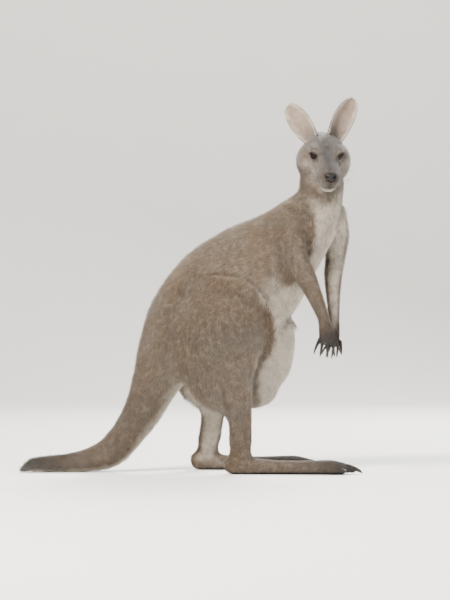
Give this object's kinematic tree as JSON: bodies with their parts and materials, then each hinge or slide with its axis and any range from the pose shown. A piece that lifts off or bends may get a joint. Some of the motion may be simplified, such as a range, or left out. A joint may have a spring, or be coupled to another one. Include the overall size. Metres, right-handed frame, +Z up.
{
  "type": "kangaroo",
  "caption": "Still, life-size adult kangaroo standing on its long hind feet and tail, upright, ears raised and head turned to one side, with a closed pouch.",
  "frame": {"origin": "on the floor, under the middle of the bounding box", "axes": "+Z up; the body faces +X, the tail lies towards -X, and the head and chest turn towards -Y"},
  "size_m": [0.88, 0.3368, 0.9743],
  "materials": {
    "coat": "short dense fur",
    "pale_coat": "short soft fur",
    "dark_coat": "short coarse fur",
    "horn": "worn horn",
    "eye": "wet"
  },
  "bodies": {
    "root": {"head": "coat", "neck": "coat", "chest": "coat", "abdomen": "coat", "pouch": "pale_coat", "tail_base": "coat", "tail_middle": "coat", "tail_tip": "dark_coat", "ear_right": "coat", "eye_right": "eye", "upper_arm_right": "coat", "forearm_right": "coat", "hand_right": "dark_coat", "thigh_right": "coat", "shank_right": "coat", "foot_right": "dark_coat", "claw_first_right": "horn", "claw_second_right": "horn", "claw_third_right": "horn", "claw_fourth_right": "horn", "claw_fifth_right": "horn", "toe_claw_second_right": "horn", "toe_claw_third_right": "horn", "toe_claw_fourth_right": "horn", "toe_claw_fifth_right": "horn", "ear_left": "coat", "eye_left": "eye", "upper_arm_left": "coat", "forearm_left": "coat", "hand_left": "dark_coat", "thigh_left": "coat", "shank_left": "coat", "foot_left": "dark_coat", "claw_first_left": "horn", "claw_second_left": "horn", "claw_third_left": "horn", "claw_fourth_left": "horn", "claw_fifth_left": "horn", "toe_claw_second_left": "horn", "toe_claw_third_left": "horn", "toe_claw_fourth_left": "horn", "toe_claw_fifth_left": "horn"}
  },
  "joints": []
}
